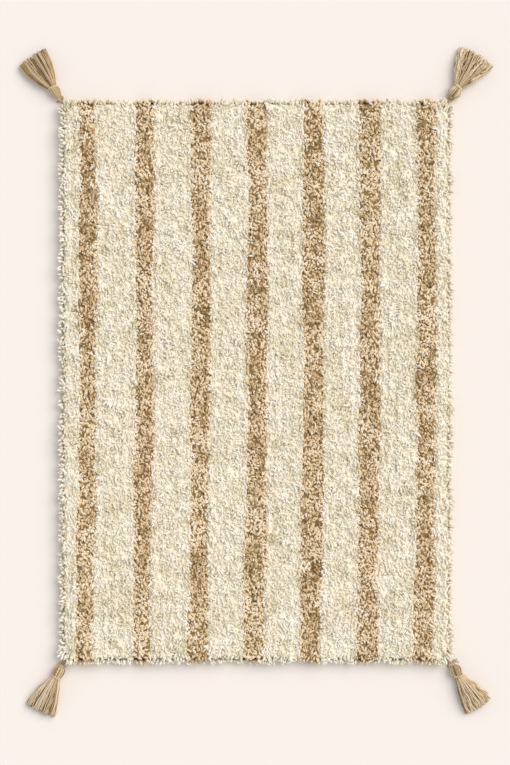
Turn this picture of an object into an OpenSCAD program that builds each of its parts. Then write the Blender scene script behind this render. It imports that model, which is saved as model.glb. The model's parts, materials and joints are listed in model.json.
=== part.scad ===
// Shaggy cotton bath mat with a tassel hung at each corner, lying flat on a floor.
// X runs across the mat, Y runs along it and Z is up. The origin is the middle of the underside.
// The floor is the plane z = 0, and every length is in millimetres.

/* [Pile] */
// Width of the mat over the pile
pile_w = 500; // [360:1:900]
// Length of the mat over the pile
pile_l = 714; // [460:1:1400]
// Height of the cut pile above the backing cloth
pile_h = 16; // [14:0.5:24]
// How far the pile leans out past the backing cloth
pile_overhang = 5; // [3:0.5:6]
// Slope of the pile's top edge, where the outer tufts droop
pile_droop = 5; // [2:0.5:10]

/* [Stripes] */
// Distance from the pile's side to the middle of the outermost tan stripe
edge_to_stripe = 37; // [30:0.5:60]
// Mean width of a tan stripe
stripe_w = 23.2; // [14:0.1:28]
// How much wider or narrower than the mean a stripe can be
stripe_w_swing = 2.3; // [0:0.1:4]
// How far the stripes wander from side to side along the mat
stripe_wander = 2; // [0:0.1:4]

/* [Backing and hem] */
// Thickness of the woven backing cloth
cloth_t = 1; // [0.6:0.1:2]
// Width of the hem that is folded under along each edge
hem_w = 20; // [14:0.5:40]
// Distance of the hem's stitching from the hem's inner edge
stitch_inset = 3; // [2:0.5:8]
// Width of the stitching thread
thread_w = 0.6; // [0.4:0.05:1]
// Distance of each corner eyelet from the two edges of the cloth
eyelet_inset = 5; // [4:0.5:6]

/* [Tassels] */
// Diameter of the hanging cord
cord_d = 1.6; // [1:0.1:2.2]
// Diameter of the knot that closes the cord
knot_d = 4.6; // [4:0.1:5.2]
// Free length of cord between the cloth's corner and the knot
knot_clear = 1.3; // [1:0.1:4]
// Length of each of the knot's two tails
tail_l = 7; // [4:0.5:8]
// Reach of the shackle from the knot's middle to the bar that the head hangs on
shackle_l = 4.9; // [4.5:0.1:9]
// Greatest diameter of the head
head_d = 15.2; // [12:0.1:18.3]
// Length of the head from the bar to the binding
head_l = 13; // [11:0.5:18]
// Width of the neck binding
binding_w = 4; // [2:0.5:8]
// Diameter over the neck binding
binding_d = 12.6; // [10:0.1:15]
// Length of the skirt from the binding to its tips
skirt_l = 47; // [25:1:80]
// Width of the skirt across its tips, where it is fanned out
skirt_w = 40; // [20:1:60]
// Thickness of the skirt at its tips, where it lies on the floor
skirt_tip_t = 8.5; // [5:0.5:12]

/* [Fits] */
// How far each tassel can swing past square to an edge of the mat, in degrees
swing_past = 10; // [0:1:15]
// Radial clearance of the cord in its eyelet, and of the bar in the head
hinge_fit = 0.1; // [0.05:0.01:0.1]
// Clearance between pieces that pass each other as they move
swing_gap = 0.3; // [0.2:0.05:0.5]
// Clearance between the hem and the grip coat inside it
coat_gap = 0.3; // [0.1:0.1:1]

/* [Hidden] */
BANDS = 15; // eight cream bands with seven tan stripes between them
CORNERS = ["tl", "tr", "bl", "br"];
$fn = 48;

cream = "#f3ead6";
tan_yarn = "#d0b185";
cloth_tone = "#e6dcc6";
tassel_tone = "#cbb088";

// Heights, from the floor up. The cord's lower run has to pass between the floor and the cloth.
cord_r = cord_d / 2;
floor_gap = 0.2;
bend_swell = 1.08;
cloth_z = floor_gap + cord_d + swing_gap;
hem_t = cloth_z;
pile_z = cloth_z + cloth_t;
ring_z = cloth_z + cloth_t / 2;
ring_rise = cloth_t / 2 + swing_gap + cord_r;

// Plan sizes of the cloth and places of the eyelets
cloth_w = pile_w - 2 * pile_overhang;
cloth_l = pile_l - 2 * pile_overhang;
eyelet_x = cloth_w / 2 - eyelet_inset;
eyelet_y = cloth_l / 2 - eyelet_inset;
eyelet_r = cord_r + hinge_fit;

// Room for the cord at each corner: under the cloth in the hem, and above it under the pile
knot_reach = eyelet_inset + knot_clear + knot_d / 2;
knot_z = max(ring_z, knot_d / 2 + floor_gap);
hem_relief_r = eyelet_inset * sqrt(2) + swing_gap;
pocket_r = knot_reach + knot_d / 2 + 2 * swing_gap;
pocket_h = max(ring_z + ring_rise + cord_r, knot_z + knot_d / 2) + swing_gap - pile_z;

// Groove for the hem's stitching
groove_w = thread_w + 0.4;
groove_h = 0.8;
thread_h = 0.5;

// Outline of the stripes: each border is a straight line with three waves along the mat
border_step = 16;
border_n = ceil(pile_l / border_step);
lean = 2.2;
bow = 2.6;
stripe_w_phase = 50;
stripe_pitch = (pile_w - 2 * edge_to_stripe) / 6;
function band_start(n) = -pile_l / 2 + pile_l * n / border_n;
function sway(y) = lean * 2 * y / pile_l + bow * (0.35 - pow(2 * y / pile_l, 2));
function ripple(y, n) = stripe_wander
    * (0.6 * sin(1.1 * y + 131 * n) + 0.3 * sin(2.7 * y + 77 * n) + 0.2 * sin(6.1 * y + 53 * n));
function stripe_width(k) = stripe_w + stripe_w_swing * sin(stripe_w_phase * (k + 0.8));
// Border n lies between band n - 1 and band n. Odd bands are tan.
function border_x(n, y) =
    n <= 0 ? -pile_w / 2
    : n >= BANDS ? pile_w / 2
    : let (k = ceil(n / 2) - 4, side = n % 2 == 1 ? -1 : 1)
        k * stripe_pitch + side * stripe_width(k) / 2 + sway(y) + ripple(y, n);

// Tassel geometry, measured outwards from the bar, with the head lying on the floor
head_r = head_d / 2;
bar_reach = knot_reach + shackle_l;
bar_z = head_r + floor_gap;
bar_half = 3.6;
elbow_back = 2.6;
elbow_drop = 3;
tail_spread = 1.4;
eye_r = cord_r + hinge_fit;
eye_wall = 1.1;
eye_half = bar_half - cord_r - swing_gap;
crown_start = cord_r + 2 * swing_gap;
neck_r = binding_d / 2 - 0.9;
skirt_start = head_l + binding_w;
skirt_end = skirt_start + skirt_l;

// Corner radius of the pile, which leaves a head room to stand upright anywhere in its swing.
// The head is a circle round the bar, and at the end of the swing it just clears the pile's round corner.
eyelet_depth = pile_overhang + eyelet_inset;
upright_reach = eyelet_depth + head_r + swing_gap;
corner_slack = bar_reach * (cos(swing_past) - sin(swing_past)) - upright_reach;
pile_corner_r = eyelet_depth - corner_slack
    + sqrt(pow(corner_slack, 2) + pow(upright_reach, 2) - pow(bar_reach, 2));

// Direction of each tassel at rest, in degrees from +X, as they lie on the floor
function rest_angle(c) = c == "tl" ? 125 : c == "tr" ? 59 : c == "bl" ? 245 : 303;
function side_x(c) = c == "tl" || c == "bl" ? -1 : 1;
function side_y(c) = c == "tl" || c == "tr" ? 1 : -1;

// Places its children with X along a tassel and the origin on its eyelet's axis
module at_corner(c) {
    translate([side_x(c) * eyelet_x, side_y(c) * eyelet_y, 0]) rotate([0, 0, rest_angle(c)]) children();
}

// One copy of the children at each eyelet
module each_eyelet() {
    for (sx = [-1, 1], sy = [-1, 1]) translate([sx * eyelet_x, sy * eyelet_y, 0]) children();
}

// Round cord of radius r through the points, a little thicker where it bends
module cord_run(points, r) {
    for (i = [1:len(points) - 1]) {
        d = points[i] - points[i - 1];
        translate(points[i - 1]) rotate([0, acos(d[2] / norm(d)), atan2(d[1], d[0])])
            cylinder(r = r, h = norm(d));
    }
    for (i = [1:1:len(points) - 2]) translate(points[i]) sphere(r = r * bend_swell);
}

// Rectangle with round corners, centred
module round_rect(w, l, r) {
    square([w - 2 * r, l], center = true);
    square([w, l - 2 * r], center = true);
    for (sx = [-1, 1], sy = [-1, 1]) translate([sx * (w / 2 - r), sy * (l / 2 - r)]) circle(r = r);
}

// Rectangular frame of the given outer size and bar width
module frame_2d(w, l, bar) {
    difference() {
        square([w, l], center = true);
        square([w - 2 * bar, l - 2 * bar], center = true);
    }
}

module backing_cloth() {
    color(cloth_tone) difference() {
        translate([0, 0, cloth_z]) linear_extrude(cloth_t) round_rect(cloth_w, cloth_l, eyelet_inset);
        translate([0, 0, cloth_z - 1]) each_eyelet() cylinder(r = eyelet_r, h = cloth_t + 2);
    }
}

module grip_coat() {
    inset = 2 * (hem_w + coat_gap);
    color("#efe9da") linear_extrude(hem_t) square([cloth_w - inset, cloth_l - inset], center = true);
}

// Centre line sizes of the stitching
stitch_w = cloth_w - 2 * (hem_w - stitch_inset);
stitch_l = cloth_l - 2 * (hem_w - stitch_inset);

// Hem strip with mitred ends: turned 0 for the left edge, and across for the other edges.
// The strip lies along the edge of the given length, at the given distance from the middle.
module hem_strip(reach, edge) {
    color(cloth_tone) difference() {
        linear_extrude(hem_t) polygon([
            [-reach, -edge], [-reach + hem_w, -edge + hem_w], [-reach + hem_w, edge - hem_w], [-reach, edge]
        ]);
        translate([-reach + hem_w - stitch_inset, 0, -1]) linear_extrude(groove_h + 1)
            square([groove_w, 2 * (edge - hem_w + stitch_inset) + groove_w], center = true);
        for (s = [-1, 1]) translate([-reach + eyelet_inset, s * (edge - eyelet_inset), -1])
            cylinder(r = hem_relief_r, h = hem_t + 2);
    }
}

module hem_left() { hem_strip(cloth_w / 2, cloth_l / 2); }
module hem_right() { rotate([0, 0, 180]) hem_strip(cloth_w / 2, cloth_l / 2); }
module hem_head_end() { rotate([0, 0, -90]) hem_strip(cloth_l / 2, cloth_w / 2); }
module hem_foot_end() { rotate([0, 0, 90]) hem_strip(cloth_l / 2, cloth_w / 2); }

module hem_thread() {
    color("#d8cdb4") translate([0, 0, groove_h - thread_h]) linear_extrude(thread_h)
        frame_2d(stitch_w + thread_w, stitch_l + thread_w, thread_w);
}

// Side view of the pile block: upright sides, with the top edges sloping in
module drooped_profile(w) {
    half = w / 2;
    polygon([
        [-half, 0], [half, 0], [half, pile_h - pile_droop], [half - pile_droop, pile_h],
        [-half + pile_droop, pile_h], [-half, pile_h - pile_droop]
    ]);
}

// One colour band of the pile, between its two wavy borders
module pile_band(n) {
    left = [for (i = [0:border_n]) [border_x(n, band_start(i)), band_start(i)]];
    right = [for (i = [border_n:-1:0]) [border_x(n + 1, band_start(i)), band_start(i)]];
    difference() {
        translate([0, 0, pile_z]) intersection() {
            linear_extrude(pile_h) polygon(concat(left, right));
            linear_extrude(pile_h) round_rect(pile_w, pile_l, pile_corner_r);
            rotate([90, 0, 90]) linear_extrude(2 * pile_w, center = true) drooped_profile(pile_l);
            rotate([90, 0, 0]) linear_extrude(2 * pile_l, center = true) drooped_profile(pile_w);
        }
        translate([0, 0, pile_z - 1]) each_eyelet() cylinder(r = pocket_r, h = pocket_h + 1);
    }
}

module pile_cream(k) { color(cream) pile_band(2 * k - 2); }
module pile_tan(k) { color(tan_yarn) pile_band(2 * k - 1); }

// Hanging cord: a ring through the eyelet and round the cloth's edge, the knot with its tails,
// and a shackle up to the bar that the head hangs on
module cord(c) {
    knot = [knot_reach, 0, knot_z];
    low = ring_z - ring_rise;
    high = ring_z + ring_rise;
    tail_z = floor_gap + cord_r;
    elbow_x = bar_reach - elbow_back;
    elbow_z = bar_z - elbow_drop;
    color(tassel_tone) at_corner(c) union() {
        cord_run([[knot_reach, 0, low], [0, 0, low], [0, 0, high], [knot_reach, 0, high]], cord_r);
        translate(knot) sphere(d = knot_d);
        for (s = [-1, 1]) cord_run([knot, [knot_reach + tail_spread, s * tail_l, tail_z]], cord_r);
        cord_run([
            knot, [elbow_x, -bar_half, elbow_z], [bar_reach, -bar_half, bar_z],
            [bar_reach, bar_half, bar_z], [elbow_x, bar_half, elbow_z], knot
        ], cord_r);
    }
}

// Turns its children so that a shape along Z lies along the tassel, starting at the bar
module along_tassel() {
    translate([bar_reach, 0, bar_z]) rotate([0, 90, 0]) children();
}

// Tassel head: the skein's fold with an eye for the bar, and the crown below it
module head(c) {
    color(tassel_tone) at_corner(c) difference() {
        union() {
            along_tassel() rotate_extrude() polygon([
                [0, crown_start], [0.42 * head_r, crown_start], [0.8 * head_r, crown_start + 1.8],
                [0.96 * head_r, crown_start + 3.4], [head_r, 0.44 * head_l], [0.98 * head_r, 0.6 * head_l],
                [0.9 * head_r, 0.8 * head_l], [neck_r, head_l], [0, head_l]
            ]);
            translate([bar_reach, 0, bar_z]) rotate([90, 0, 0])
                cylinder(r = eye_r + eye_wall, h = 2 * eye_half, center = true);
            translate([bar_reach, -eye_half, bar_z - eye_r - eye_wall])
                cube([crown_start + 1, 2 * eye_half, 2 * (eye_r + eye_wall)]);
        }
        translate([bar_reach, 0, bar_z]) rotate([90, 0, 0]) cylinder(r = eye_r, h = head_d, center = true);
    }
}

module binding(c) {
    color(tassel_tone) at_corner(c) along_tassel() translate([0, 0, head_l])
        cylinder(d = binding_d, h = binding_w);
}

// Skirt: a cone of strands pressed flat, with its underside on the floor and its tips on an arc
module skirt(c) {
    start = bar_reach + skirt_start;
    end = bar_reach + skirt_end;
    lie_down = skirt_l / 4;
    color(tassel_tone) at_corner(c) intersection() {
        along_tassel() translate([0, 0, skirt_start]) cylinder(r1 = neck_r, r2 = skirt_w / 2, h = skirt_l);
        cylinder(r = end, h = 2 * bar_z + skirt_w);
        rotate([90, 0, 0]) linear_extrude(2 * skirt_w, center = true) polygon([
            [start, bar_z - neck_r], [start + lie_down, 0], [end, 0], [end, skirt_tip_t],
            [start, bar_z + neck_r]
        ]);
    }
}

backing_cloth();
grip_coat();
hem_left();
hem_right();
hem_head_end();
hem_foot_end();
hem_thread();
for (k = [1:8]) pile_cream(k);
for (k = [1:7]) pile_tan(k);
for (c = CORNERS) {
    cord(c);
    head(c);
    binding(c);
    skirt(c);
}
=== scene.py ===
import json

import bpy
import numpy as np
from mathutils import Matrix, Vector, geometry


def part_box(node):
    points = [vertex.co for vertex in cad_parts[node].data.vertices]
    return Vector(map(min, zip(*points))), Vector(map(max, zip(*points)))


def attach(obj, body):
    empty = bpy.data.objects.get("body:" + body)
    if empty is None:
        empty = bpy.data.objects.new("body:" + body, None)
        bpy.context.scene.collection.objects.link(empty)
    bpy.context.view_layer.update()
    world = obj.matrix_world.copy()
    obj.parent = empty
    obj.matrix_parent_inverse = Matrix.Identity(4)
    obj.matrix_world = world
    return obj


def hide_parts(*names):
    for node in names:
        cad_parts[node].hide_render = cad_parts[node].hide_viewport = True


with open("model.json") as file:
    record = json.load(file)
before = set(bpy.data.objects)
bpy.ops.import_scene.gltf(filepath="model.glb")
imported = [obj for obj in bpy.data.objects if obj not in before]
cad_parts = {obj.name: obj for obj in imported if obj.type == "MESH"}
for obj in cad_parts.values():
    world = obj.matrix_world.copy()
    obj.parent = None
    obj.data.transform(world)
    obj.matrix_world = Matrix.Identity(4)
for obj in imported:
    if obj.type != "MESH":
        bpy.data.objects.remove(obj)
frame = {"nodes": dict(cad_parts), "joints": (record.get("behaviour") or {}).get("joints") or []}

# Shaggy cotton bath mat with a tassel at each corner. Every length below is in metres.
MM = 0.001
TURN = 2 * np.pi  # a full turn in radians
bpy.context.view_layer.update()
rng = np.random.default_rng(7)


# ------------ shapes worked out as arrays


def unit(v):
    """Each row divided by its own length."""
    return v / np.maximum(np.linalg.norm(v, axis=-1, keepdims=True), 1e-12)


def columns(*parts):
    """Arrays of one shape side by side, as the columns of a new last axis."""
    return np.stack(parts, -1)


def circle(a):
    """(cos a, sin a) for each angle."""
    return columns(np.cos(a), np.sin(a))


def smooth_step(x):
    """0 below 0, 1 above 1, and 3x^2 - 2x^3 between."""
    x = np.clip(x, 0, 1)
    return x * x * (3 - 2 * x)


def band_numbers(count, low, high):
    """count random numbers, each as likely anywhere from low to high."""
    return rng.uniform(low, high, count)


def tube_points(paths, radii, ref, sides):
    """Rings of points round each path. point = path + r (cos a n + sin a b), a = 2 pi k / sides,
    where t is the path's direction, n is ref made square to t, and b = t x n."""
    t = unit(np.gradient(paths, axis=1))
    n = unit(ref - np.sum(ref * t, -1, keepdims=True) * t)
    b = np.cross(t, n)
    a = TURN * np.arange(sides) / sides
    r = radii[..., None]
    return (
        paths[:, :, None]
        + (r * np.cos(a))[..., None] * n[:, :, None]
        + (r * np.sin(a))[..., None] * b[:, :, None]
    )


def tube_faces(count, rings, sides):
    """Corner numbers of the tubes' faces: a quad between neighbours on two rings, and one face at
    each end."""
    i, j, k = np.meshgrid(np.arange(count), np.arange(rings - 1), np.arange(sides), indexing="ij")

    def at(ring, side):
        return (i * rings + ring) * sides + side % sides

    quads = columns(at(j, k), at(j, k + 1), at(j + 1, k + 1), at(j + 1, k))
    first = np.arange(count)[:, None] * rings * sides
    around = np.arange(sides)
    root_end = first + around[::-1]
    tip_end = first + (rings - 1) * sides + around
    return [quads.reshape(-1, 4), root_end, tip_end]


def atlas(count, rings, sides):
    """Flat map for baking: tube i has its own cell of a square grid, with its sides in the lower part
    of the cell, u round the tube and v along it, and its two ends side by side above them."""
    across = int(np.ceil(np.sqrt(count)))
    cell = columns(np.arange(count) % across, np.arange(count) // across)
    j, k = np.meshgrid(np.arange(rings - 1), np.arange(sides), indexing="ij")
    u = columns(k, k + 1, k + 1, k) / sides
    v = columns(j, j, j + 1, j + 1) / (rings - 1)
    side_uv = columns(0.06 + 0.88 * u, 0.06 + 0.66 * v).reshape(-1, 2)
    a = TURN * np.arange(sides) / sides
    disc = columns(0.17 * np.cos(a), 0.08 * np.sin(a))
    sets = [side_uv, disc[::-1] + (0.27, 0.86), disc + (0.73, 0.86)]
    return [((cell[:, None] + s[None]) / across).reshape(-1, 2) for s in sets]


def twist_map(paths, sides, pitch):
    """Map that follows a yarn: u is the share of the way round, and v the distance along the path
    in twists, so that 2 u + v grows by one from each ply's groove to the next."""
    count, rings = paths.shape[:2]
    gaps = np.linalg.norm(np.diff(paths, axis=1), axis=-1)
    far = np.concatenate([np.zeros((count, 1)), np.cumsum(gaps, 1)], 1) / pitch
    k = np.broadcast_to(np.arange(sides), (count, rings - 1, sides))
    u = columns(k, k + 1, k + 1, k) / sides
    low = np.broadcast_to(far[:, :-1, None], k.shape)
    high = np.broadcast_to(far[:, 1:, None], k.shape)
    v = columns(low, low, high, high)
    flat = np.zeros((count * sides, 2))
    return [columns(u, v).reshape(-1, 2), flat, flat + (0, 1)]


def add_mesh(name, points, face_sets, maps=None, colours=None):
    """One smooth-shaded mesh object at the origin from whole arrays of points and faces.
    face_sets holds arrays of corner numbers, one row a face; maps holds UV maps by name, one row a
    corner; colours is one row a point."""
    mesh = bpy.data.meshes.new(name)
    counts = np.concatenate([np.full(len(f), f.shape[1]) for f in face_sets])
    corners = np.concatenate([f.ravel() for f in face_sets])
    points = np.asarray(points, float).reshape(-1, 3)
    mesh.vertices.add(len(points))
    mesh.vertices.foreach_set("co", points.ravel())
    mesh.loops.add(len(corners))
    mesh.loops.foreach_set("vertex_index", corners.astype(np.int32))
    mesh.polygons.add(len(counts))
    starts = np.concatenate([[0], np.cumsum(counts)[:-1]])
    mesh.polygons.foreach_set("loop_start", starts.astype(np.int32))
    mesh.update(calc_edges=True)
    mesh.polygons.foreach_set("use_smooth", np.ones(len(counts), bool))
    for map_name, uv in (maps or {}).items():
        layer = mesh.uv_layers.new(name=map_name)
        layer.uv.foreach_set("vector", uv.ravel().astype(np.float32))
    if colours is not None:
        attribute = mesh.attributes.new("yarn", "FLOAT_COLOR", "POINT")
        attribute.data.foreach_set("color", colours.astype(np.float32).ravel())
    mesh.validate()
    made = bpy.data.objects.new(name, mesh)
    bpy.context.scene.collection.objects.link(made)
    return made


def tubes(paths, radii, ref, sides, tone):
    """Round strands as a part for add_strands."""
    return tube_points(paths, radii, ref, sides), paths, tone, np.linspace(0, 1, paths.shape[1])


def add_strands(name, parts, twist_pitch=None):
    """A piece made of closed strands, in parts of (rings of points, paths, tone, along). Its yarn
    attribute holds each strand's tone and the share of the way along it. Each part has its own
    square of the baking map."""
    points, colours, face_sets, bake, twist = [], [], [], [], []
    squares = int(np.ceil(np.sqrt(len(parts))))
    offset = 0
    for n, (rings_of_points, paths, tone, along) in enumerate(parts):
        shape = rings_of_points.shape[:3]
        count, rings, sides = shape
        along = np.broadcast_to(along[None, :, None], shape)
        tones = np.broadcast_to(np.asarray(tone)[:, None, None], shape)
        blank = np.zeros(shape)
        colours.append(columns(tones, along, blank, blank + 1).reshape(-1, 4))
        points.append(rings_of_points.reshape(-1, 3))
        face_sets += [f + offset for f in tube_faces(count, rings, sides)]
        corner = np.array([n % squares, n // squares])
        bake += [(uv + corner) / squares for uv in atlas(count, rings, sides)]
        if twist_pitch:
            twist += twist_map(paths, sides, twist_pitch)
        offset += len(points[-1])
    maps = {"OFBake": np.concatenate(bake)}
    if twist_pitch:
        maps["Twist"] = np.concatenate(twist)
    return add_mesh(name, np.concatenate(points), face_sets, maps, np.concatenate(colours))


# ------------ materials


def colour(hex_code):
    """sRGB hex to linear RGBA: c / 12.92 up to 0.04045, else ((c + 0.055) / 1.055)^2.4."""
    c = np.array([int(hex_code[i : i + 2], 16) for i in (1, 3, 5)]) / 255
    linear = np.where(c <= 0.04045, c / 12.92, ((c + 0.055) / 1.055) ** 2.4)
    return (*[float(x) for x in linear], 1.0)


def node(tree, kind, settings=(), links=()):
    """Adds a shader node and gives its outputs. settings are (input or property, value) pairs, or
    the (place, hex colour) stops of a colour ramp, and links are (input, output) pairs."""
    made = tree.nodes.new(kind)
    for key, value in settings:
        if key == "stops":
            elements = made.color_ramp.elements
            for i, (place, code) in enumerate(value):
                e = elements[i] if i < 2 else elements.new(place)
                e.position, e.color = place, colour(code)
        elif isinstance(key, str) and key not in made.inputs:
            setattr(made, key, value)
        else:
            made.inputs[key].default_value = value
    for key, source in links:
        tree.links.new(source, made.inputs[key])
    return made.outputs


def new_material(name):
    """An empty material: its node tree, its shader and the Object coordinates."""
    material = bpy.data.materials.new(name)
    material.use_nodes = True
    tree = material.node_tree
    shader = tree.nodes["Principled BSDF"]
    place = node(tree, "ShaderNodeTexCoord")["Object"]
    return material, tree, shader, place


def finish_surface(tree, shader, base, height, bump, even):
    """Links a surface's colour and its raised pattern, whose strength and height are in bump, and
    sets the sockets that are even all over."""
    tree.links.new(base, shader.inputs["Base Color"])
    strength, high = bump
    settings = [("Strength", strength), ("Distance", high)]
    raised = node(tree, "ShaderNodeBump", settings, [("Height", height)])["Normal"]
    tree.links.new(raised, shader.inputs["Normal"])
    for socket, value in even.items():
        shader.inputs[socket].default_value = value


def ply_ridges(tree):
    """Height of a two-ply yarn's surface, from the map that follows it: (1 + sin 2 pi (2 u + v)) / 2."""
    flat = node(tree, "ShaderNodeUVMap", [("uv_map", "Twist")])[0]
    parts = node(tree, "ShaderNodeSeparateXYZ", links=[(0, flat)])
    links = [(0, parts["X"]), (2, parts["Y"])]
    steps = [("MULTIPLY_ADD", 2.0), ("MULTIPLY", TURN), ("SINE",), ("MULTIPLY_ADD", 0.5, 0.5)]
    for operation, *numbers in steps:
        settings = [("operation", operation), *enumerate(numbers, 1)]
        links = [(0, node(tree, "ShaderNodeMath", settings, links)[0])]
    return links[0][1]


def yarn_material(name, tones, root_shade_colour, fibre_mm, sheen, roughness, bump, soften, plied=False):
    """Spun yarn with a fuzzy surface. tones are the colours from the darkest strand to the
    lightest, and the root colour is painted shade that the yarn is multiplied by down in the pile,
    fading out along each strand. A plied yarn also has the ridges of its two plies, with painted
    shade in the grooves."""
    material, tree, shader, place = new_material(name)
    yarn = node(tree, "ShaderNodeAttribute", [("attribute_name", "yarn")])["Color"]
    parts = node(tree, "ShaderNodeSeparateColor", links=[("Color", yarn)])
    tone, along = parts["Red"], parts["Green"]
    fuzz = node(
        tree, "ShaderNodeTexNoise", [("Scale", 1 / (fibre_mm * MM)), ("Detail", 2.0), ("Roughness", 0.6)],
        [("Vector", place)],
    )["Fac"]
    mixed = node(
        tree, "ShaderNodeMath", [("operation", "MULTIPLY_ADD"), (1, 0.35)], [(0, fuzz), (2, tone)]
    )[0]
    shifted = node(tree, "ShaderNodeMath", [("operation", "SUBTRACT"), (1, 0.175)], [(0, mixed)])[0]
    strand = node(tree, "ShaderNodeValToRGB", [("stops", tones)], [("Fac", shifted)])[0]
    # Painted shade: the yarn darkens towards each strand's root, down in the pile.
    painted_root_shade = [(0.0, root_shade_colour), (soften, "#ffffff")]
    painted_depth_shade = node(tree, "ShaderNodeValToRGB", [("stops", painted_root_shade)], [("Fac", along)])[0]
    shades, height = [(1.0, painted_depth_shade)], fuzz
    if plied:
        height = ply_ridges(tree)
        # Painted shade in the grooves between the two plies.
        painted_groove_shade = [(0.0, "#b49a78"), (0.45, "#ffffff")]
        groove_shade = node(tree, "ShaderNodeValToRGB", [("stops", painted_groove_shade)], [("Fac", height)])
        shades.append((0.24, groove_shade[0]))
    for share, shade in shades:
        settings = [("data_type", "RGBA"), ("blend_type", "MULTIPLY"), (0, share)]
        strand = node(tree, "ShaderNodeMix", settings, [(6, strand), (7, shade)])[2]
    even = {"Roughness": roughness, "Sheen Weight": sheen}
    even |= {"Sheen Roughness": 0.5, "Specular IOR Level": 0.25}
    finish_surface(tree, shader, strand, height, (bump, 0.3 * MM), even)
    return material


# Combed cotton, softly spun and cut: no gloss, a faint halo of loose fibre, and light that
# bounces between the ends, so the gaps stay warm.
pile_finish = {"fibre_mm": 0.7, "sheen": 0.15, "roughness": 0.92, "soften": 0.6}
cream = [(0.0, "#dfd4b5"), (0.35, "#f1e8d3"), (0.65, "#f8f1e1"), (1.0, "#fcf6ec")]
cream_pile_yarn = yarn_material("cut_cotton_pile_undyed", cream, "#ffffff", bump=0.3, **pile_finish)
# The tan pile's root colour paints shade down in the pile; the cream pile's root colour is white and
# paints none.
tan = [(0.0, "#a08455"), (0.35, "#dbc096"), (0.6, "#f3e0c0"), (1.0, "#fdf1de")]
tan_pile_yarn = yarn_material("cut_cotton_pile_tan", tan, "#a29376", bump=0.5, **pile_finish)
# Two-ply cotton yarn, firmly twisted: smoother than the pile, with a dull shine along each ply.
twist_finish = {"fibre_mm": 0.45, "sheen": 0.1, "roughness": 0.75, "soften": 0.1, "plied": True}
# The tassel yarn's root colour paints a little shade at the very start of each strand.
twisted = [(0.0, "#6f5430"), (0.3, "#b2956b"), (0.65, "#dcc6a4"), (1.0, "#f6ead6")]
tassel_yarn = yarn_material("twisted_cotton_yarn_tan", twisted, "#e8dcc8", bump=0.5, **twist_finish)


def woven_material(name, dark, light, thread_mm, roughness, bump):
    """Plain weave: two sine waves at right angles, one for each set of threads, as wide as the real
    threads, with a slow noise that makes some threads thicker."""
    material, tree, shader, place = new_material(name)
    fineness = TURN / (2 * thread_mm * MM) / 20
    slight_waver = [("Distortion", 0.6), ("Detail", 1.0), ("Detail Scale", 0.4)]
    waves = []
    for axis in ("X", "Y"):
        wave = node(
            tree, "ShaderNodeTexWave", [("bands_direction", axis), ("Scale", fineness), *slight_waver],
            [("Vector", place)],
        )
        waves.append(wave["Fac"])
    weave = node(tree, "ShaderNodeMath", [("operation", "MULTIPLY")], [(0, waves[0]), (1, waves[1])])[0]
    threads = [(0.0, dark), (0.6, light)]
    cloth = node(tree, "ShaderNodeValToRGB", [("stops", threads)], [("Fac", weave)])[0]
    even = {"Roughness": roughness, "Sheen Weight": 0.1, "Specular IOR Level": 0.3}
    finish_surface(tree, shader, cloth, weave, (bump, 0.3 * MM), even)
    return material


# Undyed cotton canvas: matt, with threads about 0.9 mm wide.
canvas = woven_material("woven_cotton_canvas", "#b9ab8a", "#e6dcc6", 0.9, 0.9, 0.6)


def latex_material():
    """Natural latex brushed on the cloth and dried: pale, a little shiny, with shallow ripples."""
    material, tree, shader, place = new_material("brushed_latex_coat")
    ripple = node(
        tree, "ShaderNodeTexNoise", [("Scale", 1 / (6 * MM)), ("Detail", 3.0), ("Distortion", 0.8)],
        [("Vector", place)],
    )["Fac"]
    pale = [(0.3, "#ddd2b6"), (0.7, "#efe9da")]
    skin = node(tree, "ShaderNodeValToRGB", [("stops", pale)], [("Fac", ripple)])[0]
    even = {"Roughness": 0.5, "IOR": 1.52}
    finish_surface(tree, shader, skin, ripple, (0.4, 0.4 * MM), even)
    return material


latex = latex_material()


def thread_material():
    """Spun polyester sewing thread: fine, smooth and a little lighter where it catches light."""
    material, tree, shader, place = new_material("spun_sewing_thread")
    fibre = node(
        tree, "ShaderNodeTexNoise", [("Scale", 1 / (0.5 * MM)), ("Detail", 1.0)], [("Vector", place)]
    )["Fac"]
    pale = [(0.3, "#c9bc9d"), (0.7, "#e4dac3")]
    twine = node(tree, "ShaderNodeValToRGB", [("stops", pale)], [("Fac", fibre)])[0]
    tree.links.new(twine, shader.inputs["Base Color"])
    shader.inputs["Roughness"].default_value = 0.55
    return material


thread = thread_material()


def finish_piece(piece, body, nodes, material):
    """Gives a piece its material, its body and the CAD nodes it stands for."""
    piece.data.materials.append(material)
    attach(piece, body)
    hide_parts(*nodes)
    return piece


# ------------ the mat's own measures

joints = {j["name"]: j for j in frame["joints"]}
CORNERS = ["tl", "tr", "bl", "br"]
cloth_low, cloth_high = (np.array(v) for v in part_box("backing_cloth"))
pile_high = np.array(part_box("pile_cream_8")[1])
pile_half, cloth_half = pile_high[:2], cloth_high[:2]
cloth_top = cloth_high[2]
pile_height = pile_high[2] - cloth_top
eyelets = np.array([joints[f"swing_{c}"]["pos_m"] for c in CORNERS])
eyelet_xy = np.abs(eyelets[0, :2])
BAND_NODES = [f"pile_cream_{n // 2 + 1}" if n % 2 == 0 else f"pile_tan_{n // 2 + 1}" for n in range(15)]


def node_points(name):
    """All points of a CAD node's mesh."""
    mesh = frame["nodes"][name].data
    co = np.zeros(len(mesh.vertices) * 3)
    mesh.vertices.foreach_get("co", co)
    return co.reshape(-1, 3)


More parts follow.
